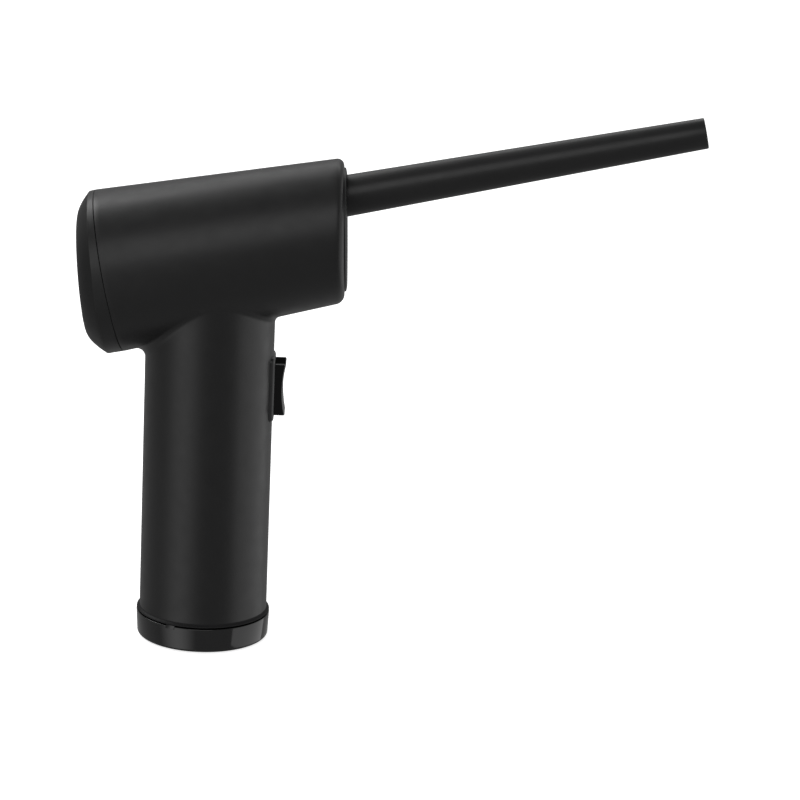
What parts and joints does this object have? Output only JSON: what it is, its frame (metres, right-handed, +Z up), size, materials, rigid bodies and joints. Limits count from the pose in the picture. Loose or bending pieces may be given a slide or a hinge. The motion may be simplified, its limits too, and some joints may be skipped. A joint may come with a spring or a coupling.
{
  "type": "car dryer blower",
  "caption": "Cordless car dryer blower: tilted fan barrel on a battery handle, long pull-off nozzle, rocker switch and pull-off intake cover.",
  "frame": {"origin": "centre of the foot's underside, on the handle's axis", "axes": "+Z up along the handle, +X the way the air leaves, +Y the left side"},
  "size_m": [0.2264, 0.0594, 0.2018],
  "materials": {
    "housing_plastic": "fine matt texture",
    "plate_plastic": "satin",
    "cap_plastic": "gloss",
    "foot_rubber": "matt",
    "screw_steel": "zinc plated",
    "cover_plastic": "fine matt texture",
    "filter_foam": "open-cell foam",
    "inner_plastic": "moulded",
    "mount_rubber": "matt",
    "seal_rubber": "silicone",
    "nozzle_plastic": "satin",
    "impeller_alloy": "machined",
    "shaft_steel": "ground",
    "magnet_alloy": "nickel plated",
    "can_alloy": "turned",
    "bearing_steel": "polished",
    "core_steel": "stacked laminations",
    "winding_copper": "enamelled",
    "cell_sleeve": "plain plastic sleeve",
    "pad_foam": "closed-cell foam",
    "holder_plastic": "moulded",
    "strap_nickel": "nickel strip",
    "board_green": "solder mask",
    "chip_plastic": "moulded",
    "capacitor_sleeve": "plastic sleeve",
    "port_steel": "pressed",
    "lens_clear": "frosted",
    "switch_plastic": "semi-gloss",
    "rocker_plastic": "gloss",
    "terminal_brass": "tinned",
    "wire_red": "insulated",
    "wire_black": "insulated"
  },
  "bodies": {
    "body": {"barrel_shell": "housing_plastic", "handle_shell": "housing_plastic", "front_plate": "plate_plastic", "base_cap": "cap_plastic", "foot_pad": "foot_rubber", "base_screws": "screw_steel", "intake_guard": "inner_plastic", "guard_screws": "screw_steel", "fan_shroud": "inner_plastic", "rear_mount": "mount_rubber", "front_mount": "mount_rubber", "outlet_duct": "inner_plastic", "outlet_seal": "seal_rubber", "motor_can": "can_alloy", "motor_endbell": "can_alloy", "motor_bearings": "bearing_steel", "stator_core": "core_steel", "motor_windings": "winding_copper", "battery_cell_1": "cell_sleeve", "battery_cell_2": "cell_sleeve", "battery_cell_3": "cell_sleeve", "battery_pad": "pad_foam", "lower_holder": "holder_plastic", "upper_holder": "holder_plastic", "cell_straps": "strap_nickel", "pack_board": "board_green", "control_board": "board_green", "board_chips": "chip_plastic", "board_capacitor": "capacitor_sleeve", "charging_port": "port_steel", "indicator_lens": "lens_clear", "switch_body": "switch_plastic", "switch_terminals": "terminal_brass", "motor_wires": "wire_red", "battery_wires": "wire_red", "switch_wires": "wire_black"},
    "fan": {"impeller": "impeller_alloy", "motor_shaft": "shaft_steel", "rotor_magnet": "magnet_alloy"},
    "nozzle": {"nozzle": "nozzle_plastic"},
    "cover": {"rear_cover": "cover_plastic", "intake_filter": "filter_foam", "filter_frame": "inner_plastic"},
    "rocker": {"switch_rocker": "rocker_plastic"}
  },
  "joints": [
    {"name": "fan_spin", "type": "hinge", "parent": "body", "child": "fan", "pos_m": [0, 0, 0.1455], "axis": [0.977, 0, 0.213], "continuous": true},
    {"name": "nozzle_pull", "type": "slide", "parent": "body", "child": "nozzle", "axis": [0.977, 0, 0.213], "range_m": [0, 0.03]},
    {"name": "cover_pull", "type": "slide", "parent": "body", "child": "cover", "axis": [-0.977, 0, -0.213], "range_m": [0, 0.02]},
    {"name": "rocker_tilt", "type": "hinge", "parent": "body", "child": "rocker", "pos_m": [0.0208, 0, 0.096], "axis": [0, 1, 0], "range_deg": [-7, 7]}
  ]
}
